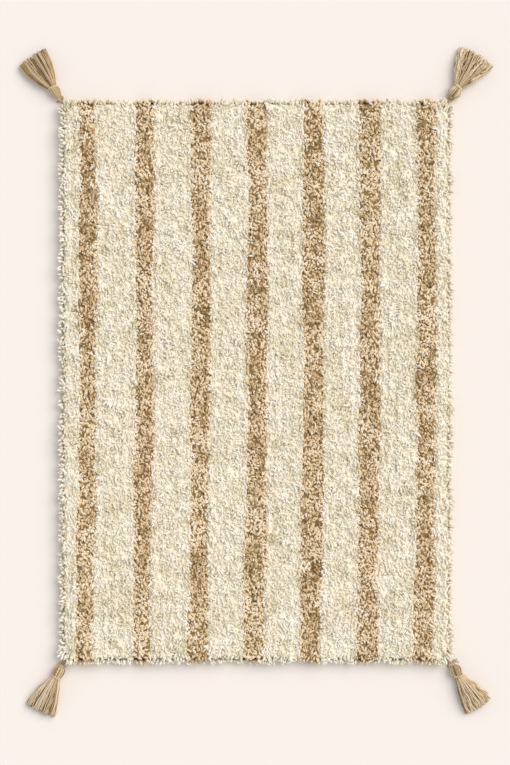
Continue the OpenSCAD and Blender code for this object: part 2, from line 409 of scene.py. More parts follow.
def band_border(name):
    """Left edge of a band of the pile along the mat: its lowest points, with the least x at each y.
    The room for the cord at the corners is left out, and the edge runs straight on there."""
    co = node_points(name)
    low = co[(co[:, 2] < cloth_top + 0.2 * MM) & (np.abs(co[:, 1]) < pile_half[1] - 25 * MM)]
    rows, row_of = np.unique(np.round(low[:, 1], 5), return_inverse=True)
    left = np.full(len(rows), np.inf)
    np.minimum.at(left, row_of.ravel(), low[:, 0])
    on_border = left < left.min() + 18 * MM
    return rows[on_border], left[on_border]


# ------------ pile

STRAND_GAP = 2.64 * MM  # distance between neighbouring strands on the cloth
STRAND_R = 1.22 * MM  # half the thickness of a soft strand
CORNER_R = 11 * MM  # round of the pile's corners
CLUMP_GAP = 12 * MM  # strands lean together in clumps about this far apart
CLUMP_RISE = 0.8 * MM  # how much the clumps differ in height
MOUND = 1.5 * MM  # how far a clump's rim lies below its middle
BED_DEPTH = 2.9 * MM  # how far below the strands' tops the pile is too dense to see into
BED_STEP = 2.6 * MM  # size of the bed's faces
BED_INSET = 2.6 * MM  # how far the bed stays inside the cloth's edge
BED_CORNER = 16 * MM  # round of the bed's corners
ROW_GAP = 71 * MM / 7  # the tufts stand in rows along the mat, seven to each stripe's repeat
ROW_HEIGHT = 0.8 * MM  # half the height between the top of a row and the furrow beside it
CLOTH_CORNER = 5 * MM  # round of the cloth's corners
TIP_LEAN, LEAN_SPREAD = 54, 18  # degrees that a strand's tip leans from upright, and the spread
SIDE_TURN = 38  # spread, in degrees, of the turn that a strand takes on its way up
EDGE_LEAN = 42  # degrees more at the cloth's edge
SHORTEST, LONGEST = 7 * MM, 26 * MM  # least height and greatest length of a strand
STEPS = 12  # steps in which a strand's run is summed
RINGS = np.array([0, 8, 10, 12])  # the steps at which it has a ring of points
TAPER = np.array([1.3, 1.35, 1.2, 0.55])  # its thickness there: full to near the tip


def lattice(gap, half, jitter):
    """Points of a grid of triangles of the given side, each moved at random by up to jitter."""
    rows = int(half[1] / (gap * np.sqrt(3) / 2)) + 2
    cols = int(half[0] / gap) + 2
    i, j = np.meshgrid(np.arange(-cols, cols + 1), np.arange(-rows, rows + 1))
    x = (i + 0.5 * (j % 2)) * gap
    y = j * gap * np.sqrt(3) / 2
    spots = columns(x, y).reshape(-1, 2)
    return spots + rng.uniform(-jitter, jitter, spots.shape)


def outline_distance(xy, half, radius):
    """Distance outside a rectangle with round corners, negative inside, and the way straight out:
    q = |xy| - (half - radius), distance = |max(q, 0)| + min(max(qx, qy), 0) - radius."""
    q = np.abs(xy) - (half - radius)
    outside = np.maximum(q, 0)
    distance = np.linalg.norm(outside, axis=-1) + np.minimum(np.max(q, -1), 0) - radius
    nearest_side = (q == np.max(q, -1, keepdims=True)).astype(float)
    in_corner = np.all(q > 0, -1)[..., None]
    way = np.where(in_corner, unit(outside), nearest_side) * np.sign(xy)
    return distance, way


def stripe_sway(y):
    """How far the stripes bend sideways at y: the parabola that best fits the middle stripe's edge."""
    rows, left = band_border("pile_tan_4")
    return np.polyval(np.polyfit(rows, left, 2), y)


def nearest_clump(xy, clumps):
    """Number of the nearest clump centre, sought row by row of the clumps' own grid in batches."""
    best = np.zeros(len(xy), int)
    nearest = np.full(len(xy), np.inf)
    order = np.argsort(clumps[:, 1])
    for part in np.array_split(order, 60):
        low, high = clumps[part, 1].min() - 2 * CLUMP_GAP, clumps[part, 1].max() + 2 * CLUMP_GAP
        rows = np.where((xy[:, 1] > low) & (xy[:, 1] < high))[0]
        if not len(rows):
            continue
        d = np.linalg.norm(xy[rows, None] - clumps[part][None], axis=-1)
        least = d.min(1)
        better = least < nearest[rows]
        nearest[rows[better]] = least[better]
        best[rows[better]] = part[d.argmin(1)[better]]
    return best


def slow_noise(xy, size, seed):
    """Sum of eight plane waves of about the given length in random directions, from -1 to 1."""
    own = np.random.default_rng(seed)
    angle = own.uniform(0, TURN, 8)
    k = TURN / (size * own.uniform(0.7, 1.5, 8))
    phase = own.uniform(0, TURN, 8)
    way = circle(angle) * k[:, None]
    return np.sin(xy @ way.T + phase).sum(1) / 4


def make_clumps():
    """Centres of the clumps, and each one's way of leaning, height and tone."""
    spots = lattice(CLUMP_GAP, cloth_half, 0.4 * CLUMP_GAP)
    way = band_numbers(len(spots), 0, TURN)
    rise = rng.normal(0, CLUMP_RISE, len(spots))
    tone = rng.normal(0, 0.15, len(spots))
    return spots, circle(way), rise, tone


def near_corner(xy):
    """1 at an eyelet, falling smoothly to 0 at 17 mm from it."""
    to_eyelet = np.linalg.norm(np.abs(xy) - eyelet_xy, axis=-1)
    return smooth_step(1.6 - to_eyelet / (11 * MM))


def top_of_pile(xy, clumps):
    """Height of the strands' middle lines above the cloth. Each clump is a mound that falls with the
    square of the distance from its centre; rows, slow noise and the drooping edge are added."""
    spots, _, clump_rise, _ = clumps
    mine = nearest_clump(xy, spots)
    share = np.linalg.norm(xy - spots[mine], axis=-1) / (0.5 * CLUMP_GAP)
    edge = outline_distance(xy, cloth_half, CLOTH_CORNER)[0]
    rise = pile_height - STRAND_R - 0.3 * MM + clump_rise[mine] + MOUND * (0.45 - share**2)
    rise -= 5.0 * MM * smooth_step(1 + edge / (7 * MM)) ** 1.5
    rise += ROW_HEIGHT * np.cos(TURN * (xy[:, 0] - stripe_sway(xy[:, 1])) / ROW_GAP)
    return rise + 0.7 * MM * slow_noise(xy, 45 * MM, 3), mine


def pile_bed(clumps, borders, n):
    """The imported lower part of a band, where the strands are too dense to tell apart: one closed
    body whose top follows the top of the pile a little below it. Its cross-sections run along the
    top from the left border to the right one and back along the cloth."""
    half = cloth_half - BED_INSET
    rows = np.linspace(-half[1], half[1], int(2 * half[1] / BED_STEP))
    ends = [-half[0] + 0 * rows, half[0] + 0 * rows]
    left, right = (
        np.interp(rows, *borders[i]) if 0 <= i < len(borders) else ends[i >= 0] for i in (n - 1, n)
    )
    across = np.linspace(0, 1, max(int((right - left).mean() / BED_STEP), 4))
    x = left[:, None] + (right - left)[:, None] * across
    xy = columns(x, np.broadcast_to(rows[:, None], x.shape)).reshape(-1, 2)
    past, out = outline_distance(xy, half, BED_CORNER)
    height = top_of_pile(xy, clumps)[0] - BED_DEPTH + 0.5 * MM * slow_noise(xy, 5 * MM, 8)
    height -= 4.5 * MM * smooth_step(1 + past / (5 * MM)) ** 2
    xy -= out * np.maximum(past, 0)[:, None]
    top = np.concatenate([xy, cloth_top + height[:, None]], -1).reshape(*x.shape, 3)
    foot = top[:, [-1, 0]] * (1, 1, 0) + (0, 0, cloth_top + 0.6 * MM)
    ring = np.concatenate([top, foot], 1)[None]
    # along is 0 over the whole bed, so a tan bed takes the full painted root shade of its yarn.
    return ring, ring[:, :, 0], np.array([0.5]), 0 * rows


def pile_strands(borders, clumps):
    """Every strand of the pile: roots, paths, radii, side direction and tone. Few lean across the
    borders between the bands.
    A strand leaves the cloth at a small tilt that grows towards its tip with the power 2 of the
    distance, and its place is the running sum of short steps in that direction. Its length is set so
    that its highest point is at the pile's height there."""
    root_half = cloth_half - 1.6 * MM
    xy = lattice(STRAND_GAP, root_half, 0.28 * STRAND_GAP)
    inside = outline_distance(xy, root_half, CLOTH_CORNER)[0] < 0
    past_eyelet = np.all(np.abs(xy) > eyelet_xy - 2.4 * MM, -1)
    xy = xy[inside & ~past_eyelet]
    count = len(xy)

    _, clump_way, _, clump_tone = clumps
    rise, mine = top_of_pile(xy, clumps)

    own_way = band_numbers(count, 0, TURN)
    way = circle(own_way) * band_numbers(count, 0.5, 1.2)[:, None]
    way += 0.5 * clump_way[mine]
    edge, outward = outline_distance(xy, cloth_half, CLOTH_CORNER)
    near_edge = smooth_step(1 + edge / (6.5 * MM))
    way = way * (1 - 0.5 * near_edge)[:, None] + outward * (1.5 * near_edge)[:, None]
    corner = near_corner(xy)
    fan = unit(np.abs(xy) - (eyelet_xy - 13 * MM)) * np.sign(xy)
    way = way * (1 - corner)[:, None] + 2 * fan * corner[:, None]
    from_border = np.min([np.abs(xy[:, 0] - np.interp(xy[:, 1], *b)) for b in borders], 0)
    way[:, 0] *= 1 - (1 - near_edge) * (0.85 - 0.35 * smooth_step(from_border / (9 * MM)))
    lean_way = np.arctan2(way[:, 1], way[:, 0])
    start_tilt = np.radians(band_numbers(count, 0, 7)) + 0.2 * near_edge**2 + 0.35 * corner
    end_tilt = np.radians(rng.normal(TIP_LEAN, LEAN_SPREAD, count))
    end_tilt += near_edge**2 * (np.radians(EDGE_LEAN) * (1 - corner))
    s = (np.arange(STEPS) + 0.5) / STEPS
    tilt = start_tilt[:, None] + (end_tilt - start_tilt)[:, None] * s**2
    turn = np.radians(rng.normal(0, SIDE_TURN, count))[:, None] * (s - 0.3)
    heading = lean_way[:, None] + turn
    step = columns(np.sin(tilt) * np.cos(heading), np.sin(tilt) * np.sin(heading), np.cos(tilt))
    run = np.concatenate([np.zeros((count, 1, 3)), np.cumsum(step, 1)], 1) / STEPS

    rise = rise + rng.normal(0, 0.5 * MM, count)
    rise = np.clip(rise, SHORTEST, pile_height + 0.3 * STRAND_R)
    length = np.minimum(rise / run[:, :, 2].max(1), LONGEST)
    paths = run * length[:, None, None]
    paths[:, :, :2] += xy[:, None]
    paths[:, :, 2] += cloth_top

    past, out = outline_distance(paths[:, :, :2], pile_half, CORNER_R)
    over = np.maximum(past - band_numbers(count, -1.4 * MM, 0.5 * MM)[:, None], 0)
    paths[:, :, :2] -= out * over[..., None]
    past_edge = outline_distance(paths[:, :, :2], cloth_half, CLOTH_CORNER)[0] > 0
    floor = np.where(past_edge, 2.4 * MM, cloth_top + 1.2 * MM)
    floor = np.where(corner[:, None] > 0.3, cloth_top + 4 * MM, floor)
    paths[:, 1:, 2] = np.maximum(paths[:, 1:, 2], floor[:, 1:])

    radii = STRAND_R * band_numbers(count, 0.8, 1.12)[:, None] * TAPER
    side = columns(-np.sin(lean_way), np.cos(lean_way), np.zeros(count))[:, None]
    tone = rng.normal(0.5, 0.12, count) + clump_tone[mine] + 0.14 * slow_noise(xy, 40 * MM, 5)
    return xy, paths[:, RINGS], radii, side, np.clip(tone, 0, 1)


def make_pile():
    """One piece a band: the strands whose roots lie between the band's two borders."""
    borders = [band_border(name) for name in BAND_NODES[1:]]
    clumps = make_clumps()
    xy, paths, radii, side, tone = pile_strands(borders, clumps)
    band = sum(xy[:, 0] > np.interp(xy[:, 1], *b) for b in borders)
    for n, name in enumerate(BAND_NODES):
        mine = band == n
        strands = tubes(paths[mine], radii[mine], side[mine], 4, tone[mine])
        bed = pile_bed(clumps, borders, n)
        piece = add_strands(f"{name}_strands", [strands, bed])
        cream = n % 2 == 0
        material = cream_pile_yarn if cream else tan_pile_yarn
        finish_piece(piece, "mat", [name], material)


make_pile()

# ------------ cloth, hems, stitches and latex


def eyelet_ring(radius, count):
    """Points round each eyelet."""
    a = TURN * np.arange(count) / count
    ring = radius * circle(a)
    return (eyelets[:, None, :2] + ring).reshape(-1, 2)


def plate(outline, holes, grid_step, top, bottom):
    """A closed plate between the heights top(xy) and bottom(xy): the outline and the holes' rims
    joined by triangles over an even grid, the same faces turned over beneath, and walls between.
    outline is a run of corners anticlockwise, and holes are such runs too."""
    rims = [outline, *holes]
    low, high = outline.min(0), outline.max(0)
    nx, ny = (int(n) for n in (high - low) / grid_step)
    gx, gy = np.meshgrid(
        np.linspace(low[0], high[0], nx + 1)[1:-1], np.linspace(low[1], high[1], ny + 1)[1:-1]
    )
    inner = columns(gx, gy).reshape(-1, 2)
    counts = [len(r) for r in rims]
    starts = np.concatenate([[0], np.cumsum(counts)])
    edges = np.concatenate(
        [columns(s + np.arange(n), s + (np.arange(n) + 1) % n) for s, n in zip(starts, counts)]
    )
    points = np.concatenate([*rims, inner])
    joined = geometry.delaunay_2d_cdt(
        [Vector(p) for p in points.tolist()], edges.tolist(), [], 0, 1e-7, True
    )
    flat = np.array([tuple(v) for v in joined[0]])
    faces = np.array([f for f in joined[2] if len(f) == 3])
    middle = flat[faces].mean(1)
    keep = inside_run(middle, outline)
    for hole in holes:
        keep &= ~inside_run(middle, hole)
    faces = faces[keep]
    corners = flat[faces]
    ab, ac = corners[:, 1] - corners[:, 0], corners[:, 2] - corners[:, 0]
    clockwise = ab[:, 0] * ac[:, 1] - ab[:, 1] * ac[:, 0] < 0
    faces[clockwise] = faces[clockwise][:, ::-1]
    used, faces = np.unique(faces, return_inverse=True)
    faces = faces.reshape(-1, 3)
    flat = flat[used]
    sides = np.concatenate([faces[:, [0, 1]], faces[:, [1, 2]], faces[:, [2, 0]]])
    key = np.sort(sides, 1) @ (len(flat), 1)
    _, first, times = np.unique(key, return_index=True, return_counts=True)
    a, b = sides[first[times == 1]].T
    n = len(flat)
    walls = columns(b, a, a + n, b + n)
    heights = np.concatenate([top(flat), bottom(flat)])[:, None]
    points = np.concatenate([np.concatenate([flat, flat]), heights], -1)
    return points, [faces, faces[:, ::-1] + n, walls]


def inside_run(points, run):
    """Whether each point lies inside a closed run of corners: a line to the right crosses it an odd
    number of times."""
    a, b = run[None], np.roll(run, -1, 0)[None]
    x, y = points[:, :1], points[:, 1:]
    spans = (a[..., 1] > y) != (b[..., 1] > y)
    rise = np.where(b[..., 1] == a[..., 1], 1, b[..., 1] - a[..., 1])
    cross = a[..., 0] + (y - a[..., 1]) * (b[..., 0] - a[..., 0]) / rise
    return (spans & (cross > x)).sum(1) % 2 == 1


def plate_map(points, face_sets):
    """Baking map of a plate: the top in the left half, the underside in the right half, and the
    walls drawn small along the lower edge."""
    flat = points[:, :2]
    low, size = flat.min(0), np.ptp(flat, axis=0)
    place = (flat - low) / size.max()
    shift = [np.array([0.01, 0.06]), np.array([0.51, 0.06])]
    uv = [place[f].reshape(-1, 2) * 0.48 * (1, 1.9) + s for f, s in zip(face_sets, shift)]
    walls = face_sets[2]
    n = np.arange(len(walls))[:, None] / len(walls)
    u = n + np.array([0, 1, 1, 0]) / len(walls)
    v = np.broadcast_to(np.array([0.005, 0.005, 0.05, 0.05]), u.shape)
    return np.concatenate([*uv, columns(u, v).reshape(-1, 2)])


def plate_piece(name, plate_parts, cad_node, material):
    """A piece of the mat made from a plate's points and faces."""
    piece = add_mesh(name, *plate_parts, {"OFBake": plate_map(*plate_parts)})
    return finish_piece(piece, "mat", [cad_node], material)


def round_outline(half, radius, step):
    """Rectangle with round corners as a run of corners anticlockwise, in even steps."""
    runs = []
    for sx, sy, start in ((1, 1, 0), (-1, 1, 90), (-1, -1, 180), (1, -1, 270)):
        a = np.radians(start + np.linspace(0, 90, 7))
        middle = (half - radius) * (sx, sy)
        runs.append(middle + radius * circle(a))
    corners = np.concatenate(runs)
    out = []
    for a, b in zip(corners, np.roll(corners, -1, 0)):
        count = max(int(np.linalg.norm(b - a) / step), 1)
        out.append(a + (b - a) * (np.arange(count) / count)[:, None])
    return np.concatenate(out)


THREAD_R = 0.3 * MM
hem_low, hem_high = (np.array(v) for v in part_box("hem_left"))
coat_low, coat_high = (np.array(v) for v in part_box("grip_coat"))
hem_width = hem_high[0] - hem_low[0]
hem_top = hem_high[2]
stitch_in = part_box("hem_thread")[0][0] + THREAD_R + cloth_half[0]
PUCKER = 14 * MM  # the hem puckers a little at about this spacing


def cloth_piece():
    """Backing cloth: a flat weave with four eyelets, its underside just above the hems."""
    holes = np.split(eyelet_ring(0.9 * MM, 14), 4)
    plate_parts = plate(
        round_outline(cloth_half, CLOTH_CORNER, 12 * MM), holes, 12 * MM,
        lambda xy: cloth_top - 0.05 * MM + 0 * xy[:, 0],
        lambda xy: cloth_low[2] + 0.05 * MM + 0 * xy[:, 0],
    )
    return plate_piece("backing_cloth_weave", plate_parts, "backing_cloth", canvas)


def hem_piece(name, sx, sy):
    """Hem strip under one edge, folded over at the cloth's edge. Its corners are mitred, and hollowed
    round the eyelets. Underside: a round fold at the outer edge, a dip along the stitches, puckers
    beside them, and a turned-in inner edge. u runs along the strip and w in from the cloth's edge."""
    along = 1 if sx else 0
    half = cloth_half[along] - 0.3 * MM
    relief = 7.4 * MM
    step = 3.0 * MM
    w = np.array([0, 0.4, 1.0, 2, 5, 9, 13, 15.5, 16.5, 17, 17.5, 18.5, 19.4, 19.8, 20]) * MM
    w = w * hem_width / w[-1]
    eye = cloth_half[0] - eyelet_xy[0]
    mitre = half - w - 0.25 * MM
    gap = np.sqrt(np.maximum(relief**2 - (w - eye) ** 2, 0))
    round_eye = np.where(gap > 0, eyelet_xy[along] - gap, half)
    end = np.minimum(np.minimum(mitre, round_eye), half - 2 * MM)
    u = np.linspace(-1, 1, int(2 * half / step))[:, None] * end
    ww = np.broadcast_to(w, u.shape)
    round_edge = 1.05 * MM * (1 - np.sqrt(np.clip(1 - (1 - ww / MM) ** 2, 0, 1)))
    fold = np.where(ww < MM, round_edge, 0)
    turned_in = 0.8 * MM * smooth_step((ww - 19.2 * MM) / (0.8 * MM))
    from_seam = ww - stitch_in
    dip = 0.8 * MM * np.exp(-((from_seam / (0.7 * MM)) ** 2))
    wave = np.sin(TURN * u / PUCKER + 2 * np.sin(u / (31 * MM)))
    pucker = 0.16 * MM * (1 + wave) * np.exp(-((from_seam / (5 * MM)) ** 2))
    under = fold + turned_in + dip + pucker * (ww > 1.5 * MM) * (ww < 19 * MM)
    over = hem_top - 0.05 * MM - 0.5 * fold
    out = cloth_half[1 - along] - 0.1 * MM - ww

    def spots(z):
        xy = [out * (sx or 1), u] if along else [u, out * sy]
        return columns(*xy, z + 0 * u)

    ring = np.concatenate([spots(under), spots(over)[:, ::-1]], 1)[None]
    if (sx or 0) < 0 or sy > 0:
        ring = ring[:, :, ::-1]
    part = ring, ring[:, :, 0], np.array([0.5]), 0 * u[:, 0]
    piece = add_strands(f"{name}_fold", [part])
    return finish_piece(piece, "mat", [name], canvas)


def stitches():
    """Lock stitch along the hems: short loops of thread, one every 4 mm, that dip at both ends where
    they pass through the cloth. Each follows a flat arch with its ends drawn up."""
    pitch, visible = 4.0 * MM, 3.3 * MM
    inner = cloth_half - stitch_in
    runs = []
    for along in (0, 1):
        count = int(2 * inner[along] / pitch)
        at = (np.arange(count) + 0.5 - count / 2) * pitch
        for sign in (-1, 1):
            xy = np.zeros((count, 2))
            xy[:, along], xy[:, 1 - along] = at, sign * inner[1 - along]
            runs.append((xy, np.eye(2)[along] + 0 * xy))
    spots, ways = (np.concatenate(v) for v in zip(*runs))
    s = np.linspace(-1, 1, 6)
    slant = rng.normal(0, 0.05, (len(spots), 1, 1)) * columns(-ways[:, 1], ways[:, 0])[:, None]
    flat = spots[:, None] + visible / 2 * s[None, :, None] * (ways[:, None] + slant)
    z = 0.42 * MM + 0.55 * MM * np.abs(s) ** 4 + 0 * flat[..., 0]
    paths = np.concatenate([flat, z[..., None]], -1)
    radii = np.broadcast_to(THREAD_R * (1 - 0.3 * np.abs(s) ** 3), z.shape)
    tone = np.full(len(paths), 0.5)
    part = tubes(paths, radii, np.broadcast_to((0.0, 0.0, 1.0), (len(paths), 1, 3)), 6, tone)
    piece = add_strands("hem_stitches", [part])
    return finish_piece(piece, "mat", ["hem_thread"], thread)


def latex_piece():
    """Grip coat: a thin skin inside the hems with a rolled edge and brushed ripples underneath.
    Thickness at a point: full, less the ripple, and 1 - (1 - d)^2 near the edge, d mm from it."""
    half = coat_high[:2]

    def under(xy):
        d = -outline_distance(xy, half, 6 * MM)[0]
        rim = 0.7 * MM * (1 - smooth_step(d / (2.5 * MM)))
        ripple = 0.12 * MM * (1 + slow_noise(xy * (1, 0.45), 11 * MM, 21))
        return coat_low[2] + 0.02 * MM + rim + np.abs(ripple)

    plate_parts = plate(
        round_outline(half, 6 * MM, 5 * MM), [], 5 * MM,
        lambda xy: coat_high[2] - 0.02 * MM + 0 * xy[:, 0], under,
    )
    return plate_piece("grip_coat_skin", plate_parts, "grip_coat", latex)


cloth = cloth_piece()
for name in ("hem_left", "hem_right", "hem_head_end", "hem_foot_end"):
    middle = np.sum(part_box(name), 0)[:2] / 2
    side_of_mat = np.round(middle / np.abs(middle).max()).astype(int)
    hem_piece(name, *side_of_mat)
seam = stitches()
coat = latex_piece()

# ------------ tassels

bar_reach = np.linalg.norm(
    np.array(joints["lift_tl"]["pos_m"][:2]) - np.array(joints["swing_tl"]["pos_m"][:2])
)
bar_z = joints["lift_tl"]["pos_m"][2]
CORD_R = 0.8 * MM
YARN_R = 0.7 * MM
PLY_PITCH = 3.6 * MM  # length in which the two plies go once round each other


def axes_of(c):
    """Eyelet on the floor plane, and the directions along the tassel, across it and up."""
    start = np.array(joints[f"swing_{c}"]["pos_m"]) * (1, 1, 0)
    along = unit(np.array(joints[f"lift_{c}"]["pos_m"]) * (1, 1, 0) - start)
    return start, np.array([along, (-along[1], along[0], 0), (0, 0, 1)])


def placed(points, c):
    """Points given as (along, across, up) from the eyelet, in the row frame."""
    start, axes = axes_of(c)
    return points @ axes + start


def turned(vectors, c):
    """Directions given as (along, across, up), in the row frame."""
    return vectors @ axes_of(c)[1]


def span_of(name, c):
    """Lowest and highest (along, across, up) of a CAD node, measured from the eyelet."""
    start, axes = axes_of(c)
    own = (node_points(name) - start) @ axes.T
    return own.min(0), own.max(0)


def rounded_run(points, count, rounds=3):
    """A run of yarn through the points: each round cuts every corner at a quarter and three quarters
    of its two sides, and the run is then divided evenly into count points."""
    run = np.asarray(points, float)
    for _ in range(rounds):
        cut = np.stack([0.75 * run[:-1] + 0.25 * run[1:], 0.25 * run[:-1] + 0.75 * run[1:]], 1)
        run = np.concatenate([run[:1], cut.reshape(-1, 3), run[-1:]])
    far = np.concatenate([[0], np.cumsum(np.linalg.norm(np.diff(run, axis=0), axis=1))])
    at = np.linspace(0, far[-1], count)
    return np.stack([np.interp(at, far, run[:, i]) for i in range(3)], -1)


def yarn_part(c, paths, radii, ref, sides, tone):
    """Strands given in (along, across, up), as a part for add_strands."""
    paths = np.asarray(paths, float)
    if paths.ndim == 2:
        paths = paths[None]
    radii = np.broadcast_to(radii, paths.shape[:2])
    ref = np.broadcast_to(np.asarray(ref, float), (len(paths), 3))[:, None]
    tone = np.broadcast_to(tone, len(paths))
    return tubes(placed(paths, c), radii, turned(ref, c), sides, tone)


def yarn_piece(name, parts, body, cad_node):
    """One piece of a tassel, from its strands."""
    finish_piece(add_strands(name, parts, PLY_PITCH), body, [cad_node], tassel_yarn)


# What sets each tassel apart. Heads are (distance from the bar, half width) in millimetres, and
# spread is half the width of the skirt across its tips.
TASSELS = {
    "tl": {
        "head": [(0, 2.2), (2.5, 4.0), (6, 5.8), (9, 6.6), (11, 6.5), (13, 6.0)],
        "strands": 130, "spread": 20.0, "bulge": 1.9, "wave": 0.35, "curl": 0.5,
        "ragged": 2.0, "turns": 2.3, "slant": 0.5, "lighter": -0.04, "tail": (2.6, 4.6),
    },
    "tr": {
        "head": [(0, 2.4), (1.5, 5.4), (4, 8.0), (6.5, 8.3), (9, 7.3), (11, 6.2), (13, 5.6)],
        "strands": 134, "spread": 23.0, "bulge": 1.6, "wave": 1.1, "curl": 2.2,
        "ragged": 3.5, "turns": 2.6, "slant": 1.3, "lighter": 0.05, "tail": (1.5, 2.5),
    },
    "bl": {
        "head": [(0, 3.0), (1.5, 5.6), (3.5, 6.9), (7, 7.1), (10, 6.9), (13, 6.0)],
        "strands": 118, "spread": 20.0, "bulge": 1.55, "wave": 0.5, "curl": 0.7,
        "ragged": 2.2, "turns": 2.0, "slant": 0.3, "lighter": 0.06, "tail": (3.0, 3.6),
    },
    "br": {
        "head": [(0, 2.6), (1.5, 5.2), (4, 7.6), (7, 8.2), (10, 7.2), (13, 5.8)],
        "strands": 104, "spread": 18.5, "bulge": 1.35, "wave": 0.55, "curl": 0.9,
        "ragged": 2.8, "turns": 1.5, "slant": 2.0, "lighter": 0.0, "tail": (4.5, 8.5),
    },
}
neck_start, neck_end = (span_of("binding_tl", "tl")[i][0] for i in (0, 1))
skirt_end = span_of("skirt_tl", "tl")[1][0]
head_half = (span_of("head_tl", "tl")[1][2] - span_of("head_tl", "tl")[0][2]) / 2


def cord_piece(c, own):
    """Hanging cord: a ring through the eyelet and round the cloth's edge, a trefoil knot, a shackle
    whose cross run carries the head, and two tails that open into loose ends.
    Trefoil: x = sin t + 2 sin 2t, y = cos t - 2 cos 2t, z = -sin 3t."""
    ring_low, knot_x, knot_z, ring_high = 1.0 * MM, 8.6 * MM, 2.6 * MM, 4.2 * MM
    ring = [
        (knot_x, 0, knot_z - 0.5 * MM), (knot_x - 1.2 * MM, 0, ring_low), (1.2 * MM, 0, ring_low),
        (0, 0, ring_low + 0.3 * MM), (0, 0, ring_high - 0.3 * MM), (1.2 * MM, 0, ring_high),
        (knot_x - 1.2 * MM, 0, ring_high), (knot_x, 0, knot_z + 0.5 * MM),
    ]
    arm, arm_x, arm_z = 3.6 * MM, bar_reach - 2.6 * MM, bar_z - 3.0 * MM
    shackle = [
        (knot_x, -0.4 * MM, knot_z), (arm_x, -arm, arm_z), (bar_reach, -arm, bar_z),
        (bar_reach, -2.6 * MM, bar_z), (bar_reach, 0, bar_z), (bar_reach, 2.6 * MM, bar_z),
        (bar_reach, arm, bar_z), (arm_x, arm, arm_z), (knot_x, 0.4 * MM, knot_z),
    ]
    t = np.linspace(0, TURN, 49)
    knot = columns(
        0.5 * (np.sin(t) + 2 * np.sin(2 * t)), 0.5 * (np.cos(t) - 2 * np.cos(2 * t)), -0.85 * np.sin(3 * t)
    ) * MM + (knot_x, 0, knot_z)
    parts = [
        yarn_part(c, rounded_run(ring, 40, 2), CORD_R, (0, 1, 0), 8, 0.45),
        yarn_part(c, rounded_run(shackle, 48, 2), CORD_R, (-0.64, 0, 0.77), 8, 0.5),
        yarn_part(c, knot, CORD_R, (0, 0, 1), 8, 0.5),
    ]
    for way, length in zip((-1, 1), own["tail"]):
        reach = length * MM
        middle = rounded_run(
            [
                (knot_x, way * 0.5 * MM, knot_z), (knot_x + 0.6 * MM, way * 2.4 * MM, 1.6 * MM),
                (knot_x + 3.6 * MM, way * (1.5 * MM + reach), CORD_R + 0.3 * MM),
            ],
            12,
        )
        a = TURN * (np.arange(7) / 7)[:, None] + np.linspace(0, 5, 12)
        open_out = (0.35 + (0.75 + 0.2 * length) * np.linspace(0, 1, 12) ** 2) * MM
        offset = columns(np.cos(a), 0.2 * np.sin(a), 0.6 * np.sin(a)) * open_out[:, None]
        paths = middle[0] + (middle - middle[0]) * band_numbers(7, 0.75, 1.1)[:, None, None] + offset
        paths[..., 2] = np.maximum(paths[..., 2], 0.55 * MM)
        parts.append(yarn_part(c, paths, 0.42 * MM, (0, 0, 1), 5, band_numbers(7, 0.3, 0.9)))
    yarn_piece(f"cord_{c}_yarn", parts, f"tether_{c}", f"cord_{c}")


def head_radius(own, s):
    """Half width of the head at a distance s from the bar, along a smooth line through its points."""
    at, half = np.array(own["head"]).T * MM
    fine = np.linspace(at[0], at[-1], 60)
    line = np.interp(fine, at, half)
    kernel = np.hanning(11) / np.hanning(11).sum()
    line = np.convolve(np.pad(line, 5, mode="edge"), kernel, "valid")
    return np.interp(s, fine, line)


def head_piece(c, own):
    """Head: the fold of the skein over the bar, and strands that run from there over a round core to
    the neck. A strand lies at radius R(s) - r round the axis, at an angle that turns slightly with s."""
    count = 30
    s = np.linspace(0.4 * MM, neck_start - bar_reach + 1.5 * MM, 15)
    a = (TURN * np.arange(count) / count + band_numbers(count, -0.05, 0.05))[:, None]
    a = a + own["slant"] * 0.25 * s / s[-1]
    wide = head_radius(own, s) - 0.75 * YARN_R
    wide = wide + rng.normal(0, 0.16 * MM, (count, 1)) * np.sin(np.pi * s / s[-1])
    tall = np.minimum(wide, head_half - 0.9 * YARN_R)
    paths = columns(bar_reach + s + 0 * a, wide * np.cos(a), bar_z + tall * np.sin(a))
    ref = columns(0 * a[:, 0], np.cos(a[:, 0]), np.sin(a[:, 0]))
    radii = YARN_R * (0.9 + 0.12 * np.sin(np.pi * s / s[-1]))
    parts = [yarn_part(c, paths, radii, ref, 6, np.clip(rng.normal(0.5, 0.2, count), 0, 1))]
    core_r = np.minimum(head_radius(own, s), head_half) - 1.1 * YARN_R
    shade_core = columns(bar_reach + s, 0 * s, bar_z + 0 * s)
    # The core's dark tone 0.1 is painted shade between the head's strands.
    parts.append(yarn_part(c, shade_core, core_r, (0, 0, 1), 20, 0.1))

    fold_r = 0.7 * MM
    ring = CORD_R + 0.1 * MM + fold_r
    turn = np.radians(np.linspace(75, 285, 9))
    up = columns(bar_reach + ring * np.cos(turn), 0 * turn, bar_z + ring * np.sin(turn))
    ends = np.array([(bar_reach + 3.4 * MM, 0, 3.4 * MM), (bar_reach + 3.4 * MM, 0, -3.4 * MM)])
    ends[:, 2] += bar_z
    fold = rounded_run(np.concatenate([ends[:1], up, ends[1:]]), 20, 2)
    sideways = np.array([-1.8, -0.6, 0.6, 1.8]) * MM
    folds = fold[None] + sideways[:, None, None] * (0, 1, 0)
    parts.append(yarn_part(c, folds, fold_r, (0, 1, 0), 7, [0.4, 0.6, 0.5, 0.7]))
    yarn_piece(f"head_{c}_skein", parts, f"tassel_{c}", f"head_{c}")


